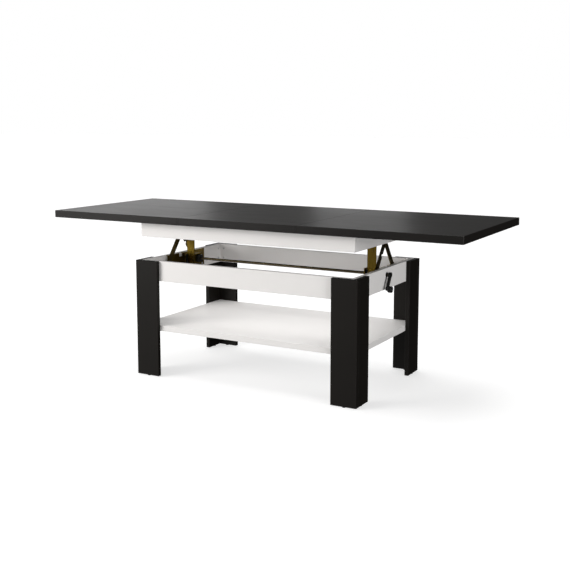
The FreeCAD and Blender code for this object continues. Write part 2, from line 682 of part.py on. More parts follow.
def crank_bush():
    """Flanged bush in the right-hand board, where the crank comes out."""
    barrel = rod(V(lower_inner_x, 0, shaft_height), V(lower_x, 0, shaft_height), CRANK_BUSH_RADIUS)
    end = lower_x + CRANK_FLANGE_THICKNESS
    flange = rod(V(lower_x, 0, shaft_height), V(end, 0, shaft_height), CRANK_FLANGE_RADIUS)
    rim = [edge for edge in flange.Edges if abs(edge.BoundBox.XMin - end) < CRANK_FLANGE_THICKNESS / 2]
    flange = flange.makeFillet(CRANK_FLANGE_THICKNESS / 2, rim)
    bore = rod(V(lower_inner_x, 0, shaft_height), V(end, 0, shaft_height), SHAFT_RADIUS + RUNNING_CLEARANCE)
    return barrel.fuse(flange).removeSplitter().cut(bore)


hub_start = lower_x + CRANK_FLANGE_THICKNESS + CRANK_NECK
hub_end = hub_start + CRANK_HUB_LENGTH
crank_lean = math.radians(CRANK_LEAN)
grip_y = -CRANK_ARM_LENGTH * math.sin(crank_lean)
grip_z = shaft_height - CRANK_ARM_LENGTH * math.cos(crank_lean)


def crank_arm():
    """Crank arm: a round hub on the shaft, tapering out to the grip."""
    start_x = hub_end - CRANK_ARM_THICKNESS
    through = X_AXIS * CRANK_ARM_THICKNESS
    hub = rod(V(hub_start, 0, shaft_height), V(hub_end, 0, shaft_height), CRANK_HUB_RADIUS)
    centre = V(start_x, 0, shaft_height)
    tip = V(start_x, grip_y, grip_z)
    across = X_AXIS.cross(tip - centre).normalize()
    wide = across * CRANK_ARM_ROOT_WIDTH / 2
    narrow = across * CRANK_ARM_WIDTH / 2
    bar = prism([centre + wide, tip + narrow, tip - narrow, centre - wide], through)
    eye = rod(tip, tip + through, CRANK_ARM_WIDTH / 2)
    crank = hub.fuse([bar, eye]).removeSplitter()
    shaft_hole = rod(V(hub_start, 0, shaft_height), V(hub_end, 0, shaft_height), SHAFT_RADIUS)
    return drilled(crank, [shaft_hole, rod(tip, tip + through, GRIP_PIN_RADIUS)])


def grip_pin():
    """Pin that the grip turns on, with a cap that keeps the grip in place."""
    start = V(hub_end - CRANK_ARM_THICKNESS, grip_y, grip_z)
    cap = V(hub_end + CRANK_GAP * 2 + GRIP_LENGTH, grip_y, grip_z)
    end = cap + X_AXIS * GRIP_CAP_THICKNESS
    return rod(start, end, GRIP_PIN_RADIUS).fuse(rod(cap, end, GRIP_CAP_RADIUS)).removeSplitter()


def crank_grip():
    """Round grip, free to spin on its pin."""
    start = V(hub_end + CRANK_GAP, grip_y, grip_z)
    knob = rod(start, start + X_AXIS * GRIP_LENGTH, GRIP_RADIUS)
    rims = [edge for edge in knob.Edges if edge.BoundBox.XLength < GRIP_ROUND]
    knob = knob.makeFillet(GRIP_ROUND, rims)
    return knob.cut(rod(start, start + X_AXIS * GRIP_LENGTH, GRIP_PIN_RADIUS + RUNNING_CLEARANCE))


def through_shaft():
    """Shaft from the left-hand side plate to the crank."""
    return rod(V(-track_x, 0, shaft_height), V(hub_end, 0, shaft_height), SHAFT_RADIUS)


def rail_screws(sy):
    """Screws through the fin of one rail into the upper box."""
    z = upper_top - SLIDE_CLEARANCE * 2 - RAIL_HEIGHT - RAIL_FIN / 2
    seat = sy * (upper_inner_y - RAIL_WALL)
    end = rail_fin_end - RAIL_SCREW_INSET
    xs = (-end, 0, end)
    return [screw(V(x, seat, z), Y_AXIS * sy) for x in xs]


def build_base():
    """Legs, shelf, lower box and the fixed pieces of the lift."""
    corners = [(sx, sy) for sy in (-1, 1) for sx in (-1, 1)]
    screws = [item for sx, sy in corners for item in leg_screws(sx, sy)]
    dowels = [item for sx, sy in corners for item in shelf_dowels(sx, sy)]
    for sx, sy in corners:
        name = ("front" if sy < 0 else "rear") + ("_left" if sx < 0 else "_right")
        face, side = leg_boards(sx, sy)
        save(name + "_leg_face", [drilled(face, screws + dowels)])
        save(name + "_leg_side", [drilled(side, screws + dowels)])
    save("leg_glides", [item for sx, sy in corners for item in leg_glides(sx, sy)])
    save("leg_screws", screws)
    save("shelf_dowels", dowels)
    shelf = board((-lower_x, lower_x), (-lower_y, lower_y), (SHELF_TOP - SHELF_THICKNESS, SHELF_TOP))
    save("shelf", [drilled(shelf, dowels)])
    fixings = bracket_screws()
    left_fixings = [mirrored(item) for item in fixings]
    holders = side_plate_screws()
    left_holders = [turned(item) for item in holders]
    bush_bore = rod(V(lower_inner_x, 0, shaft_height), V(lower_x, 0, shaft_height), CRANK_BUSH_RADIUS)
    for name, panel in lower_boards().items():
        save("lower_" + name + "_board", [drilled(panel, screws + holders + left_holders + [bush_bore])])
    plate = drilled(side_plate(), fixings + holders)
    left_plate = drilled(turned(side_plate()), left_fixings + left_holders)
    shaft_hole = rod(V(track_face, 0, shaft_height), V(track_x, 0, shaft_height), SHAFT_RADIUS + BUSH_WALL)
    save("right_side_plate", [plate.cut(shaft_hole)])
    save("left_side_plate", [left_plate.cut(mirrored(shaft_hole))])
    bracket = drilled(gear_bracket(), fixings)
    save("right_gear_bracket", [bracket])
    save("left_gear_bracket", [mirrored(bracket)])
    save("right_post_guides", post_guides())
    save("left_post_guides", [mirrored(item) for item in post_guides()])
    cheek_bush = bush(cheek_inner, cheek_outer)
    end_bush = bush(-track_x, -track_face)
    save("shaft_bushes", [cheek_bush, mirrored(cheek_bush), end_bush])
    save("crank_bush", [crank_bush()])
    save("brake_clamp", [brake_clamp()])
    save("lift_screws", fixings + left_fixings + holders + left_holders + [brake_screw()])


def build_drive():
    """Crank, shaft and pinions."""
    save("through_shaft", [through_shaft()])
    save("right_pinion", [pinion()])
    save("left_pinion", [mirrored(pinion())])
    save("crank_arm", [crank_arm()])
    save("grip_pin", [grip_pin()])
    save("crank_grip", [crank_grip()])


def build_lift():
    """Upper box and what rises with it."""
    plate_fixings = upper_plate_screws()
    rails = rail_screws(-1) + rail_screws(1)
    pins = [apex_pin(), turned(apex_pin())]
    right_fixings = plate_fixings
    left_fixings = [turned(item) for item in plate_fixings]
    for name, panel in upper_boards().items():
        save("upper_" + name + "_board", [drilled(panel, right_fixings + left_fixings + rails)])
    save("right_upper_plate", [drilled(upper_plate(), right_fixings + pins)])
    save("left_upper_plate", [drilled(turned(upper_plate()), left_fixings + pins)])
    save("apex_pins", pins)
    clamps = post_screws()
    save("right_rack_post", [drilled(post(), clamps)])
    save("left_rack_post", [mirrored(drilled(post(), clamps))])
    save("right_rack", [rack()])
    save("left_rack", [mirrored(rack())])
    save("right_post_angle", [drilled(post_angle(), clamps)])
    save("left_post_angle", [mirrored(drilled(post_angle(), clamps))])
    save("front_guide_rail", [drilled(guide_rail(-1), rails)])
    save("rear_guide_rail", [drilled(guide_rail(1), rails)])
    save("upper_corner_blocks", upper_corner_blocks())
    save("upper_screws", right_fixings + left_fixings + rails + clamps + [mirrored(item) for item in clamps])


def build_arms():
    """Stabiliser arms; each end is the other turned by half a turn."""
    save("right_front_arm", arm(-1))
    save("right_rear_arm", arm(1))
    save("left_rear_arm", [turned(item) for item in arm(-1)])
    save("left_front_arm", [turned(item) for item in arm(1)])


def build_top():
    """Both halves of the top with their runners, and the insert."""
    for name, sx in (("left", -1), ("right", 1)):
        save(name + "_top_half", [top_half(sx)])
        save(name + "_runners", [runner(sx, -1), runner(sx, 1)])
    save("insert_leaf", [insert_leaf()])


os.makedirs("parts", exist_ok=True)
build_base()
build_drive()
build_lift()
build_arms()
build_top()
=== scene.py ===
import json
import math

import bmesh
import bpy
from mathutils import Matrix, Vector


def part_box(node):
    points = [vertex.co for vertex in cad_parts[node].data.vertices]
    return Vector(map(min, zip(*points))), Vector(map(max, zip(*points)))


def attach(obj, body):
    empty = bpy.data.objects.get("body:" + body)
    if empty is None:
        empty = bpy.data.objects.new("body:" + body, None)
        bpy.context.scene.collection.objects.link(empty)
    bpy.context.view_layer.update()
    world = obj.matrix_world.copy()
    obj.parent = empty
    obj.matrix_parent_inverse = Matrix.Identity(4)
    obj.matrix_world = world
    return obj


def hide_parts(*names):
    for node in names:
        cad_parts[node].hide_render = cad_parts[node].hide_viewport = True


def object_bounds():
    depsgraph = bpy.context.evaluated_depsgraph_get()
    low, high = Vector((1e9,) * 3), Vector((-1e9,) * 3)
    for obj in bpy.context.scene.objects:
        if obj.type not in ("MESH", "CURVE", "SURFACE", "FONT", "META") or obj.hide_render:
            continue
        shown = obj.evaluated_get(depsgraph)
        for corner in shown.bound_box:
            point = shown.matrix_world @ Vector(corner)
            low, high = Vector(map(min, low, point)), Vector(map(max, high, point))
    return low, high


# Height-adjustable, extending coffee table: its finishes, small formed pieces, studio and camera.
# Metres, in the part's own frame: +X to the crank end, +Y to the back, +Z up.

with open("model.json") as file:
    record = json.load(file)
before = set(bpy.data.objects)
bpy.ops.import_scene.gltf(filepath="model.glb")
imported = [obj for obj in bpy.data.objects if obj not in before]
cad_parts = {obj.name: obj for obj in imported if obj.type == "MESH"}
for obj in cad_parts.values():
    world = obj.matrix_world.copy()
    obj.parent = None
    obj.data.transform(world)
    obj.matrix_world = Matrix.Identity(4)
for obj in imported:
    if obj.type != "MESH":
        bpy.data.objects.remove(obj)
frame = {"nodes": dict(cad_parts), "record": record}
cad_low, cad_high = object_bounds()
NODES = frame["nodes"]
BODIES = frame["record"]["behaviour"]["bodies"]
SLOT_OF_NODE = {row["node"]: row["material_slot"] for row in frame["record"]["subparts"]}
BODY_OF_NODE = {member: body for body, members in BODIES.items() for member in members}
MM = 0.001

# Camera, fitted to the table's corners in the photograph: metres, degrees, millimetres of lens
CAMERA_PLACE = (1.7777, -3.1197, 0.9981)
CAMERA_YAW = 29.276
CAMERA_PITCH = 7.435
CAMERA_LENS = 58.93
CAMERA_SENSOR = 36.0
CAMERA_SHIFT = -0.08


# Shader building blocks

# Stretches of a noise value that an effect runs over, from a quick change to a slow one
QUICK_CHANGE = (0.35, 0.65)
EVEN_CHANGE = (0.30, 0.70)
SLOW_CHANGE = (0.25, 0.75)


def fill_socket(tree, socket, value):
    """Link a socket where the value is another socket, and set it otherwise."""
    if isinstance(value, bpy.types.NodeSocket):
        tree.links.new(value, socket)
    else:
        socket.default_value = value


def node(tree, kind, inputs=None, **settings):
    """Add a shader node with its settings and its inputs."""
    made = tree.nodes.new(kind)
    for name, value in settings.items():
        setattr(made, name, value)
    for name, value in (inputs or {}).items():
        fill_socket(tree, made.inputs[name], value)
    return made


def math_node(tree, operation, *values):
    """Result of a Math node."""
    return node(tree, "ShaderNodeMath", dict(enumerate(values)), operation=operation).outputs[0]


def dot_product(tree, first, second):
    """How far two directions agree, from -1 to 1."""
    made = node(tree, "ShaderNodeVectorMath", {0: first, 1: second}, operation="DOT_PRODUCT")
    return made.outputs["Value"]


def remap(tree, value, old, new=(0.0, 1.0)):
    """Value moved from one range to another, and held inside it."""
    ends = {"Value": value, "From Min": old[0], "From Max": old[1], "To Min": new[0], "To Max": new[1]}
    return node(tree, "ShaderNodeMapRange", ends, clamp=True).outputs["Result"]


def mix_colour(tree, factor, first, second):
    """Blend of two colours by a factor."""
    mixer = node(tree, "ShaderNodeMix", data_type="RGBA")
    # The sockets for colours go by number, because those for other values have the same names
    fill_socket(tree, mixer.inputs[0], factor)
    fill_socket(tree, mixer.inputs[6], first)
    fill_socket(tree, mixer.inputs[7], second)
    return mixer.outputs[2]


def noise(tree, vector, scale, detail=3.0, roughness=0.5, distortion=0.0):
    """Noise value in space."""
    values = {"Vector": vector, "Scale": scale, "Detail": detail, "Roughness": roughness,
              "Distortion": distortion}
    return node(tree, "ShaderNodeTexNoise", values).outputs["Fac"]


def place(tree):
    """Position on the piece, in metres, which rides with the piece."""
    return node(tree, "ShaderNodeTexCoord").outputs["Object"]


def stretched(tree, scale):
    """Position with each axis scaled by itself."""
    return node(tree, "ShaderNodeMapping", {"Vector": place(tree), "Scale": scale}).outputs["Vector"]


def rgb(red, green, blue):
    """Opaque linear colour."""
    return (red, green, blue, 1.0)


def grey(level):
    """Opaque linear grey."""
    return rgb(level, level, level)


# Effects that several finishes share

def new_effect(name, inputs, outputs):
    """Empty shader group with named sockets; gives its tree, its input values and its output sockets."""
    tree = bpy.data.node_groups.new(name, "ShaderNodeTree")
    for label, value in inputs.items():
        kind = "NodeSocketFloat" if isinstance(value, float) else "NodeSocketColor"
        tree.interface.new_socket(label, in_out="INPUT", socket_type=kind).default_value = value
    for label in outputs:
        kind = "NodeSocketColor" if label == "Colour" else "NodeSocketFloat"
        tree.interface.new_socket(label, in_out="OUTPUT", socket_type=kind)
    return tree, tree.nodes.new("NodeGroupInput").outputs, tree.nodes.new("NodeGroupOutput").inputs


def make_pressed_pearl():
    """Fine pebble that a press plate leaves in laminate, and the faint mottle of the paper below it."""
    fine_ratio = 3.1
    fine_share = 0.35
    inputs = {"Pearl scale": 1100.0, "Mottle scale": 9.0}
    tree, given, result = new_effect("pressed_pearl", inputs, ["Height", "Mottle"])
    pebble = noise(tree, place(tree), given["Pearl scale"], detail=2.0)
    fine_scale = math_node(tree, "MULTIPLY", given["Pearl scale"], fine_ratio)
    fine = noise(tree, place(tree), fine_scale, detail=1.0)
    mottle = noise(tree, place(tree), given["Mottle scale"], detail=5.0, roughness=0.6)
    tree.links.new(math_node(tree, "MULTIPLY_ADD", fine, fine_share, pebble), result["Height"])
    tree.links.new(mottle, result["Mottle"])
    return tree


def make_rubbed_edge():
    """Mask of the edges, broken up as handling leaves them."""
    flat_to_edge = (0.995, 0.80)
    least_wear = 0.25
    inputs = {"Width": 1.5 * MM, "Breakup scale": 60.0}
    tree, given, result = new_effect("rubbed_edge", inputs, ["Mask"])
    rounded = node(tree, "ShaderNodeBevel", {"Radius": given["Width"]}, samples=6).outputs["Normal"]
    flat = node(tree, "ShaderNodeNewGeometry").outputs["Normal"]
    edge = remap(tree, dot_product(tree, rounded, flat), flat_to_edge)
    patches = noise(tree, place(tree), given["Breakup scale"], detail=4.0, roughness=0.65)
    broken = remap(tree, patches, QUICK_CHANGE, (least_wear, 1.0))
    tree.links.new(math_node(tree, "MULTIPLY", edge, broken), result["Mask"])
    return tree


def make_handled():
    """Cloudy streaks where hands and cloths have been, for the gloss."""
    wipe_stretch = (3.0, 14.0, 9.0)
    wiped_share = 0.45
    cloud_share = 0.55
    tree, given, result = new_effect("handled", {"Cloud scale": 4.0}, ["Smear"])
    cloud = noise(tree, place(tree), given["Cloud scale"], detail=6.0, roughness=0.62)
    wiped = noise(tree, stretched(tree, wipe_stretch), scale=1.6, detail=5.0, distortion=1.2)
    clouded = math_node(tree, "MULTIPLY", cloud, cloud_share)
    tree.links.new(math_node(tree, "MULTIPLY_ADD", wiped, wiped_share, clouded), result["Smear"])
    return tree


def make_passivated():
    """Cloudy colour of a chromate coat on zinc: two tints that drift, with fine spangle."""
    drift_stretch = (1.0, 1.0, 0.6)
    spangle_scale = 420.0
    spangle_width = 0.8
    spangle_share = 0.22
    smooth_to_dull = (0.24, 0.40)
    inputs = {"First": rgb(0.5, 0.4, 0.1), "Second": rgb(0.3, 0.2, 0.1), "Cloud scale": 22.0}
    tree, given, result = new_effect("passivated", inputs, ["Colour", "Roughness", "Height"])
    drift = noise(tree, stretched(tree, drift_stretch), given["Cloud scale"], detail=2.0, distortion=0.5)
    cells = node(tree, "ShaderNodeTexVoronoi", {"Vector": place(tree), "Scale": spangle_scale})
    spangle = cells.outputs["Distance"]
    tint = mix_colour(tree, remap(tree, drift, SLOW_CHANGE), given["First"], given["Second"])
    shade = remap(tree, spangle, (0.0, spangle_width), (0.0, spangle_share))
    tree.links.new(mix_colour(tree, shade, tint, given["Second"]), result["Colour"])
    tree.links.new(remap(tree, drift, EVEN_CHANGE, smooth_to_dull), result["Roughness"])
    tree.links.new(spangle, result["Height"])
    return tree


EFFECTS = {
    "pearl": make_pressed_pearl(),
    "edge": make_rubbed_edge(),
    "handled": make_handled(),
    "passivated": make_passivated(),
}


def effect(tree, name, **values):
    """Place a shared effect in a finish and give its output sockets."""
    made = node(tree, "ShaderNodeGroup", node_tree=EFFECTS[name])
    for label, value in values.items():
        made.inputs[label.replace("_", " ")].default_value = value
    return made.outputs


def new_finish(name, **sockets):
    """Material with a Principled shader whose fixed values are set on its own sockets."""
    material = bpy.data.materials.new(name)
    material.use_nodes = True
    tree = material.node_tree
    shader = tree.nodes["Principled BSDF"]
    for label, value in sockets.items():
        shader.inputs[label.replace("_", " ")].default_value = value
    return material, tree, shader.inputs


def bump(tree, inputs, height, strength, depth):
    """Raise the surface by a height value, in metres of depth."""
    made = node(tree, "ShaderNodeBump", {"Height": height, "Strength": strength, "Distance": depth})
    tree.links.new(made.outputs["Normal"], inputs["Normal"])


# Finishes: one for each slot of the part's record, and one for the darker shaft

def laminate(name, body, mottled, edge, dullness, drift, shine):
    """Pressed laminate on board: pearl grain, faint mottle, rubbed edges."""
    edge_share = 0.35
    material, tree, inputs = new_finish(name, Specular_IOR_Level=shine)
    pearl = effect(tree, "pearl")
    colour = mix_colour(tree, remap(tree, pearl["Mottle"], QUICK_CHANGE), body, mottled)
    rubbed = math_node(tree, "MULTIPLY", effect(tree, "edge")["Mask"], edge_share)
    tree.links.new(mix_colour(tree, rubbed, colour, edge), inputs["Base Color"])
    smear = effect(tree, "handled")["Smear"]
    dulled = remap(tree, smear, QUICK_CHANGE, (dullness - drift, dullness + drift))
    tree.links.new(dulled, inputs["Roughness"])
    bump(tree, inputs, pearl["Height"], strength=0.22, depth=0.15 * MM)
    return material


def black_top_finish():
    """Black satin laminate of the table top."""
    return laminate("black_top_laminate",
                    body=rgb(0.0042, 0.0032, 0.0024), mottled=rgb(0.0052, 0.0040, 0.0031),
                    edge=rgb(0.020, 0.018, 0.016), dullness=0.38, drift=0.02, shine=0.20)


def black_board_finish():
    """Matt black laminate of the legs."""
    return laminate("black_leg_laminate",
                    body=rgb(0.0046, 0.0035, 0.0024), mottled=rgb(0.0058, 0.0045, 0.0032),
                    edge=rgb(0.018, 0.016, 0.014), dullness=0.52, drift=0.04, shine=0.16)


def white_board_finish():
    """Matt white laminate of both boxes and the shelf."""
    return laminate("white_laminate",
                    body=rgb(0.815, 0.797, 0.783), mottled=rgb(0.800, 0.782, 0.767),
                    edge=rgb(0.700, 0.685, 0.668), dullness=0.46, drift=0.04, shine=0.40)


def beech_finish():
    """Bare beech of the dowels, with flecks along the grain."""
    fleck_stretch = (900.0, 900.0, 90.0)
    pale = rgb(0.62, 0.43, 0.25)
    dark = rgb(0.45, 0.28, 0.15)
    material, tree, inputs = new_finish("bare_beech")
    fleck = noise(tree, stretched(tree, fleck_stretch), scale=1.0)
    tree.links.new(mix_colour(tree, fleck, pale, dark), inputs["Base Color"])
    tree.links.new(remap(tree, fleck, EVEN_CHANGE, (0.55, 0.75)), inputs["Roughness"])
    bump(tree, inputs, fleck, strength=0.2, depth=0.1 * MM)
    return material


def plated(name, first, second, edge, edge_share, cloud_scale):
    """Chromated steel: drifting tints, bare bright edges, spangle."""
    material, tree, inputs = new_finish(name, Metallic=1.0)
    coat = effect(tree, "passivated", First=first, Second=second, Cloud_scale=cloud_scale)
    rubbed = math_node(tree, "MULTIPLY", effect(tree, "edge", Width=0.8 * MM)["Mask"], edge_share)
    tree.links.new(mix_colour(tree, rubbed, coat["Colour"], edge), inputs["Base Color"])
    tree.links.new(coat["Roughness"], inputs["Roughness"])
    bump(tree, inputs, coat["Height"], strength=0.10, depth=0.05 * MM)
    return material


def yellow_zinc_finish():
    """Yellow-passivated zinc of the lift's plates and posts."""
    return plated("yellow_passivated_zinc",
                  first=rgb(0.215, 0.150, 0.020), second=rgb(0.088, 0.052, 0.012),
                  edge=rgb(0.46, 0.36, 0.14), edge_share=0.5, cloud_scale=22.0)


def dark_zinc_finish():
    """Dark olive zinc of the stabiliser arms."""
    return plated("dark_olive_zinc",
                  first=rgb(0.135, 0.098, 0.026), second=rgb(0.070, 0.048, 0.015),
                  edge=rgb(0.34, 0.27, 0.12), edge_share=0.5, cloud_scale=30.0)


def darker_zinc_finish():
    """Zinc of the through shaft, darker than that of the stabiliser arms."""
    return plated("darker_olive_zinc",
                  first=rgb(0.066, 0.052, 0.028), second=rgb(0.042, 0.032, 0.018),
                  edge=rgb(0.16, 0.13, 0.07), edge_share=0.5, cloud_scale=30.0)


def bright_zinc_finish():
    """Bright zinc of screws and pins."""
    return plated("bright_zinc",
                  first=rgb(0.62, 0.63, 0.63), second=rgb(0.52, 0.53, 0.55),
                  edge=rgb(0.75, 0.75, 0.74), edge_share=0.4, cloud_scale=60.0)


def moulded(name, body, worn, dullness, shine, grain_scale, depth):
    """Black plastic or powder coat: even grain, edges a little polished."""
    mottle_share = 0.5
    edge_share = 0.5
    polish = 0.08
    dulling = 0.06
    material, tree, inputs = new_finish(name, Specular_IOR_Level=shine)
    grain = effect(tree, "pearl", Pearl_scale=grain_scale, Mottle_scale=40.0)
    tint = mix_colour(tree, remap(tree, grain["Mottle"], EVEN_CHANGE, (0.0, mottle_share)), body, worn)
    rubbed = math_node(tree, "MULTIPLY", effect(tree, "edge", Width=1.0 * MM)["Mask"], edge_share)
    tree.links.new(mix_colour(tree, rubbed, tint, worn), inputs["Base Color"])
    smear = effect(tree, "handled", Cloud_scale=30.0)["Smear"]
    dulled = remap(tree, smear, QUICK_CHANGE, (dullness - polish, dullness + dulling))
    tree.links.new(dulled, inputs["Roughness"])
    bump(tree, inputs, grain["Height"], strength=0.25, depth=depth)
    return material


def black_steel_finish():
    """Black powder coat of the crank arm."""
    return moulded("black_powder_coat",
                   body=rgb(0.0045, 0.0044, 0.0044), worn=rgb(0.0100, 0.0098, 0.0096),
                   dullness=0.42, shine=0.20, grain_scale=1500.0, depth=0.12 * MM)


def black_plastic_finish():
    """Moulded black plastic of the grip, bushes, guides and glides."""
    return moulded("moulded_black_plastic",
                   body=rgb(0.0050, 0.0050, 0.0052), worn=rgb(0.0110, 0.0110, 0.0112),
                   dullness=0.48, shine=0.25, grain_scale=2400.0, depth=0.08 * MM)


def rail_alloy_finish():
    """Mill aluminium of the rails, with drawing lines along the length."""
    line_stretch = (3.0, 1600.0, 1600.0)
    dark = rgb(0.70, 0.71, 0.72)
    pale = grey(0.80)
    material, tree, inputs = new_finish("drawn_aluminium", Metallic=1.0)
    lines = noise(tree, stretched(tree, line_stretch), scale=1.0)
    tree.links.new(mix_colour(tree, lines, dark, pale), inputs["Base Color"])
    tree.links.new(remap(tree, lines, EVEN_CHANGE, (0.26, 0.42)), inputs["Roughness"])
    bump(tree, inputs, lines, strength=0.15, depth=0.04 * MM)
    return material


FINISHES = {
    "black_top": black_top_finish(),
    "black_board": black_board_finish(),
    "white_board": white_board_finish(),
    "beech": beech_finish(),
    "yellow_zinc": yellow_zinc_finish(),
    "dark_zinc": dark_zinc_finish(),
    "darker_zinc": darker_zinc_finish(),
    "bright_zinc": bright_zinc_finish(),
    "black_steel": black_steel_finish(),
    "black_plastic": black_plastic_finish(),
    "rail_alloy": rail_alloy_finish(),
}

# The shaft is darker than the other pieces of its slot
DARKENED_NODES = {"through_shaft": "darker_zinc"}


def dress_node(name):
    """Give a carried-over piece its finish."""
    for slot in NODES[name].material_slots:
        slot.link = "OBJECT"
        slot.material = FINISHES[DARKENED_NODES.get(name, SLOT_OF_NODE[name])]


# Formed pieces

SAME_POINT = 0.001 * MM
NEARLY_UPRIGHT = 0.9


def piece_from(mesh, name, stands_for):
    """Turn a mesh into a named piece that rides with, and stands for, one node of the part."""
    data = bpy.data.meshes.new(name)
    bmesh.ops.recalc_face_normals(mesh, faces=mesh.faces)
    mesh.to_mesh(data)
    mesh.free()
    data.materials.append(FINISHES[SLOT_OF_NODE[stands_for]])
    made = bpy.data.objects.new(name, data)
    bpy.context.scene.collection.objects.link(made)
    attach(made, BODY_OF_NODE[stands_for])
    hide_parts(stands_for)
    return made


def axes_about(direction):
    """Two directions square to one direction and to each other."""
    helper = Vector((0, 0, 1)) if abs(direction.z) < NEARLY_UPRIGHT else Vector((0, 1, 0))
    across = direction.cross(helper).normalized()
    return across, direction.cross(across)


def add_turned(mesh, start, direction, rings, segments, shape):
    """Turned form: rings of distance along the direction and radius, whose points a shape then moves."""
    across, up = axes_about(direction)
    loops = []
    for along, radius in rings:
        loop = []
        for i in range(segments):
            angle = 2 * math.pi * i / segments
            distance, reach = shape(along, radius, angle)
            out = across * math.cos(angle) + up * math.sin(angle)
            loop.append(mesh.verts.new(start + direction * distance + out * reach))
        loops.append(loop)
    for first, second in zip(loops, loops[1:]):
        for i in range(segments):
            j = (i + 1) % segments
            mesh.faces.new((first[i], first[j], second[j], second[i]))
    return loops


def separate_solids(name):
    """Points of each separate solid of a node, in the order of the node's own points."""
    mesh = bmesh.new()
    mesh.from_mesh(NODES[name].data)
    bmesh.ops.remove_doubles(mesh, verts=mesh.verts, dist=SAME_POINT)
    seen = set()
    solids = []
    for start in mesh.verts:
        if start in seen:
            continue
        seen.add(start)
        found = [start]
        for vertex in found:
            for edge in vertex.link_edges:
                other = edge.other_vert(vertex)
                if other not in seen:
                    seen.add(other)
                    found.append(other)
        solids.append([vertex.co.copy() for vertex in found])
    mesh.free()
    return solids


# Screws: shares are of the head's radius or height, or of the shank's radius
SCREW_NODES = ("leg_screws", "lift_screws", "upper_screws")
HEAD_SEGMENTS = 32
SHANK_SEGMENTS = 16
RECESS_WIDTH = 0.26
RECESS_REACH = 0.62
RECESS_DEPTH = 0.75
RECESS_ABOVE = 0.5
AXIS_SHARE = 0.1
RIM_SHARE = 0.9
POINT_SHARE = 0.35
THREAD_PITCH = 1.6 * MM
THREAD_DEPTH = 0.35 * MM
RINGS_PER_TURN = 4
# Dome of the head from its middle to its rim: share of the radius, share of the height
HEAD_RINGS = (
    (0.0, 1.0), (0.16, 0.99), (0.30, 0.97), (0.44, 0.93), (0.60, 0.86),
    (0.70, 0.80), (0.86, 0.62), (0.96, 0.38), (1.0, 0.18), (1.0, 0.0),
)


def add_screw(mesh, points):
    """Pan-head screw with a cross recess and a pointed, ridged shank, in the place of one plain solid."""
    low = Vector([min(point[i] for point in points) for i in range(3)])
    high = Vector([max(point[i] for point in points) for i in range(3)])
    size = high - low
    long_axis = max(range(3), key=lambda i: size[i])
    middle = (low + high) / 2
    along = Vector([1.0 if i == long_axis else 0.0 for i in range(3)])
    reach = [((point - middle) - along * (point - middle).dot(along)).length for point in points]
    head_radius = max(reach)
    shank_radius = min(value for value in reach if value > head_radius * AXIS_SHARE)
    head = [point[long_axis] for point, value in zip(points, reach) if value > head_radius * RIM_SHARE]
    inward = 1.0 if abs(min(head) - low[long_axis]) < abs(max(head) - high[long_axis]) else -1.0
    head_height = max(head) - min(head)
    length = size[long_axis] - head_height
    seat = middle.copy()
    seat[long_axis] = max(head) if inward > 0 else min(head)
    direction = along * inward

    def recess(distance, radius, angle):
        """Lower the points inside the arms of the cross."""
        share = radius / head_radius
        x = abs(share * math.cos(angle))
        y = abs(share * math.sin(angle))
        inside = min(x, y) < RECESS_WIDTH / 2 and max(x, y) < RECESS_REACH
        on_top = distance < -head_height * RECESS_ABOVE
        return (distance + head_height * RECESS_DEPTH if inside and on_top else distance), radius

    def thread(distance, radius, angle):
        """Ridge that winds along the shank."""
        turn = (distance / THREAD_PITCH - angle / (2 * math.pi)) % 1.0
        ridged = radius > shank_radius * RIM_SHARE
        return distance, radius - THREAD_DEPTH * abs(2 * turn - 1) * ridged

    dome = [(-head_height * height, head_radius * share) for share, height in HEAD_RINGS]
    head_loops = add_turned(mesh, seat, direction, dome, HEAD_SEGMENTS, recess)
    mesh.faces.new(head_loops[-1])
    crown = sum((vertex.co for vertex in head_loops[0]), Vector()) / HEAD_SEGMENTS
    bmesh.ops.pointmerge(mesh, verts=head_loops[0], merge_co=crown)
    steps = max(RINGS_PER_TURN, int(length / (THREAD_PITCH / RINGS_PER_TURN)))
    shank = [(length * i / steps, shank_radius) for i in range(steps)]
    shank.append((length, shank_radius * POINT_SHARE))
    shank_loops = add_turned(mesh, seat, direction, shank, SHANK_SEGMENTS, thread)
    mesh.faces.new(shank_loops[0])
    mesh.faces.new(shank_loops[-1])


def make_screws(name):
    """All the screws of one node."""
    mesh = bmesh.new()
    for points in separate_solids(name):
        add_screw(mesh, points)
    piece_from(mesh, name.replace("screws", "cross_screws"), name)


# Grip of the crank, fluted only where it is wider than a share of its radius
GRIP_SEGMENTS = 96
GRIP_FLUTES = 12
FLUTE_DEPTH = 0.7 * MM
FLUTED_SHARE = 0.7
GRIP_ROUND = 3.0 * MM
GRIP_BORE = 3.05 * MM
GRIP_STEPS = 8


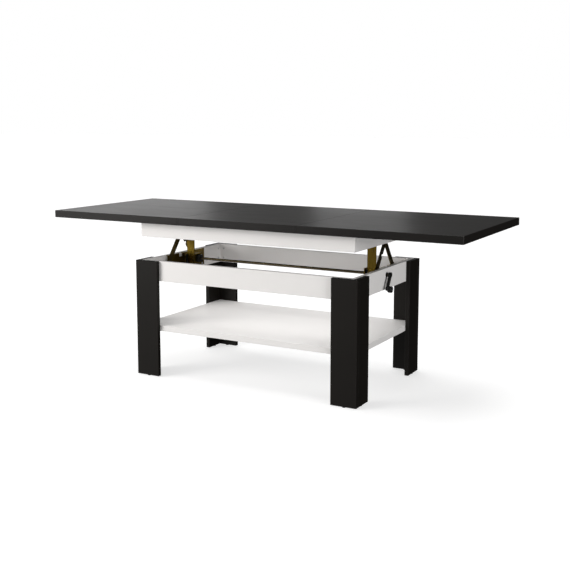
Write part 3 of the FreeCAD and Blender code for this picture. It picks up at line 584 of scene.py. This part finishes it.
def make_crank_grip():
    """Round grip with rounded ends and finger flutes, bored for its pin."""
    low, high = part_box("crank_grip")
    radius = (high.z - low.z) / 2
    length = high.x - low.x
    inner_end = Vector((low.x, (low.y + high.y) / 2, (low.z + high.z) / 2))
    axis = Vector((1, 0, 0))
    straight = length - 2 * GRIP_ROUND
    corner = []
    for i in range(GRIP_STEPS + 1):
        turn = math.pi / 2 * i / GRIP_STEPS
        corner.append((GRIP_ROUND * (1 - math.sin(turn)), radius - GRIP_ROUND * (1 - math.cos(turn))))
    rings = [(0.0, GRIP_BORE)]
    rings += reversed(corner)
    rings += [(GRIP_ROUND + straight * i / GRIP_STEPS, radius) for i in range(1, GRIP_STEPS)]
    rings += [(length - inset, reach) for inset, reach in corner]
    rings += [(length, GRIP_BORE), (0.0, GRIP_BORE)]

    def fluted(distance, reach, angle):
        """Draw the sides in along each flute, fading at both ends."""
        fade = math.sin(math.pi * min(1.0, max(0.0, distance / length)))
        draw = FLUTE_DEPTH * fade * max(0.0, math.cos(GRIP_FLUTES * angle)) ** 2
        return distance, reach - (draw if reach > radius * FLUTED_SHARE else 0.0)

    mesh = bmesh.new()
    add_turned(mesh, inner_end, axis, rings, GRIP_SEGMENTS, fluted)
    bmesh.ops.remove_doubles(mesh, verts=mesh.verts, dist=SAME_POINT)
    grip = piece_from(mesh, "fluted_crank_grip", "crank_grip")
    for face in grip.data.polygons:
        face.use_smooth = True


# Deburred edges: sizes in metres, angles in degrees
EDGE_ROUND = 0.45 * MM
EDGE_STEPS = 2
SHARP_ANGLE = 40.0
FLAT_ANGLE = 0.2
SEAM_WIDTH = 0.005 * MM
ROUNDED_NODES = (
    "right_gear_bracket", "left_gear_bracket", "right_rack_post", "left_rack_post",
    "right_post_angle", "left_post_angle", "right_upper_plate", "left_upper_plate",
    "right_rear_arm", "left_front_arm", "crank_arm", "crank_bush", "brake_clamp",
    "right_post_guides", "left_post_guides", "shaft_bushes", "grip_pin", "leg_glides",
)
# Their flat faces are joined first, because thin triangles would stop the rounding
FLAT_FACED_NODES = {
    "right_rear_arm", "left_front_arm", "brake_clamp", "right_post_guides", "left_post_guides",
    "grip_pin", "leg_glides",
}


def round_edges(name):
    """Take the sharpness off a carried-over piece, as deburring and moulding do."""
    piece = NODES[name]
    weld = piece.modifiers.new("joined", "WELD")
    weld.merge_threshold = SEAM_WIDTH
    if name in FLAT_FACED_NODES:
        flat = piece.modifiers.new("flat_faces", "DECIMATE")
        flat.decimate_type = "DISSOLVE"
        flat.angle_limit = math.radians(FLAT_ANGLE)
    bevel = piece.modifiers.new("deburred", "BEVEL")
    bevel.width = EDGE_ROUND
    bevel.segments = EDGE_STEPS
    bevel.limit_method = "ANGLE"
    bevel.angle_limit = math.radians(SHARP_ANGLE)
    bevel.use_clamp_overlap = True


# Studio

# Walls of the room that lights the table: where they are bright, how far round, and how bright
BRIGHT_SIDE = (-0.75, -0.60, -0.25)
DIM_TO_BRIGHT = (-0.64, 0.80)
BRIGHT_WALL = grey(0.57)
DIM_WALL = grey(0.04)
WHITE = grey(1.0)

FLOOR_HALF = 40.0
FLOOR_CELLS = 8
FLOOR_COLOUR = grey(0.50)
FLOOR_GLOW = 0.64

NEUTRAL_LIGHT = (1.0, 1.0, 1.0)
WARM_LIGHT = (1.0, 0.985, 0.965)
TABLE_MIDDLE = (0.0, 0.0, 0.4)
TABLE_FOOT = (0.0, 0.0, 0.0)
TOP_HEIGHT = cad_high.z
SHELF_LIGHT_DROP = 3.0 * MM


def make_world():
    """White surround for the picture, with a soft grey room for light and reflections."""
    world = bpy.data.worlds.new("studio")
    world.use_nodes = True
    bpy.context.scene.world = world
    tree = world.node_tree
    direction = node(tree, "ShaderNodeTexCoord").outputs["Generated"]
    bright = remap(tree, dot_product(tree, direction, BRIGHT_SIDE), DIM_TO_BRIGHT)
    room = mix_colour(tree, bright, DIM_WALL, BRIGHT_WALL)
    seen = node(tree, "ShaderNodeLightPath").outputs["Is Camera Ray"]
    tree.links.new(mix_colour(tree, seen, room, WHITE), tree.nodes["Background"].inputs["Color"])


def floor_finish():
    """Plain pale floor that is clear from below, so that views from there show the table."""
    material, tree, _ = new_finish(
        "pale_floor", Base_Color=FLOOR_COLOUR, Roughness=0.9, Specular_IOR_Level=0.0,
        Emission_Color=WHITE, Emission_Strength=FLOOR_GLOW)
    from_above = tree.nodes["Principled BSDF"].outputs["BSDF"]
    clear = node(tree, "ShaderNodeBsdfTransparent").outputs["BSDF"]
    is_below = node(tree, "ShaderNodeNewGeometry").outputs["Backfacing"]
    sides = node(tree, "ShaderNodeMixShader", {0: is_below, 1: from_above, 2: clear})
    tree.links.new(sides.outputs["Shader"], tree.nodes["Material Output"].inputs["Surface"])
    return material


def make_floor():
    """Floor that takes the table's soft shadow and throws no light back."""
    mesh = bmesh.new()
    bmesh.ops.create_grid(mesh, x_segments=FLOOR_CELLS, y_segments=FLOOR_CELLS, size=FLOOR_HALF)
    data = bpy.data.meshes.new("floor")
    mesh.to_mesh(data)
    mesh.free()
    data.materials.append(floor_finish())
    floor = bpy.data.objects.new("floor", data)
    bpy.context.scene.collection.objects.link(floor)
    floor.visible_diffuse = False
    floor.visible_glossy = False


def turn_to(light, aim):
    """Point a light along a direction."""
    light.rotation_euler = aim.to_track_quat("-Z", "Y").to_euler()


def area_light(name, position, target, size, power, colour=NEUTRAL_LIGHT):
    """Soft rectangular light that points at a target and stays out of the picture."""
    data = bpy.data.lights.new(name, "AREA")
    data.shape = "RECTANGLE"
    data.size, data.size_y = size
    data.energy = power
    data.color = colour
    light = bpy.data.objects.new(name, data)
    light.location = position
    light.visible_camera = False
    turn_to(light, Vector(target) - Vector(position))
    bpy.context.scene.collection.objects.link(light)


def sun_light(name, comes_from, strength, spread):
    """Even light from one direction, softened by its spread in degrees."""
    data = bpy.data.lights.new(name, "SUN")
    data.energy = strength
    data.angle = math.radians(spread)
    light = bpy.data.objects.new(name, data)
    turn_to(light, -Vector(comes_from))
    bpy.context.scene.collection.objects.link(light)


def make_lights():
    """Key at the front left, fills at the right and over the shelf, sheens on the top, daylight above."""
    lower_box_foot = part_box("lower_front_board")[0].z
    above_shelf = (0.0, 0.0, lower_box_foot - SHELF_LIGHT_DROP)
    area_light("key", position=(-2.2, -2.5, 1.35), target=TABLE_MIDDLE,
               size=(1.8, 1.6), power=74.0, colour=WARM_LIGHT)
    area_light("fill", position=(3.6, -1.2, 0.8), target=TABLE_MIDDLE,
               size=(2.6, 1.4), power=77.0)
    area_light("sheen", position=(-2.6, 2.3, 1.3), target=(-0.8, 0.0, TOP_HEIGHT),
               size=(1.2, 1.0), power=4.2)
    area_light("far sheen", position=(-0.75, 2.4, 1.0), target=(0.37, 0.0, TOP_HEIGHT),
               size=(0.6, 0.4), power=0.8)
    area_light("shelf fill", position=above_shelf, target=TABLE_FOOT,
               size=(0.84, 0.5), power=1.45)
    sun_light("daylight", comes_from=(-0.26, 0.12, 1.0), strength=2.1, spread=50.0)


def make_camera():
    """Camera at the photograph's angle."""
    data = bpy.data.cameras.new("camera")
    data.lens = CAMERA_LENS
    data.sensor_width = CAMERA_SENSOR
    data.shift_y = CAMERA_SHIFT
    camera = bpy.data.objects.new("camera", data)
    camera.location = CAMERA_PLACE
    camera.rotation_euler = (math.radians(90 - CAMERA_PITCH), 0, math.radians(CAMERA_YAW))
    bpy.context.scene.collection.objects.link(camera)
    bpy.context.scene.camera = camera


for name in NODES:
    dress_node(name)
for name in ROUNDED_NODES:
    round_edges(name)
for name in SCREW_NODES:
    make_screws(name)
make_crank_grip()
make_world()
make_floor()
make_lights()
make_camera()
bpy.context.scene.view_settings.view_transform = "Standard"
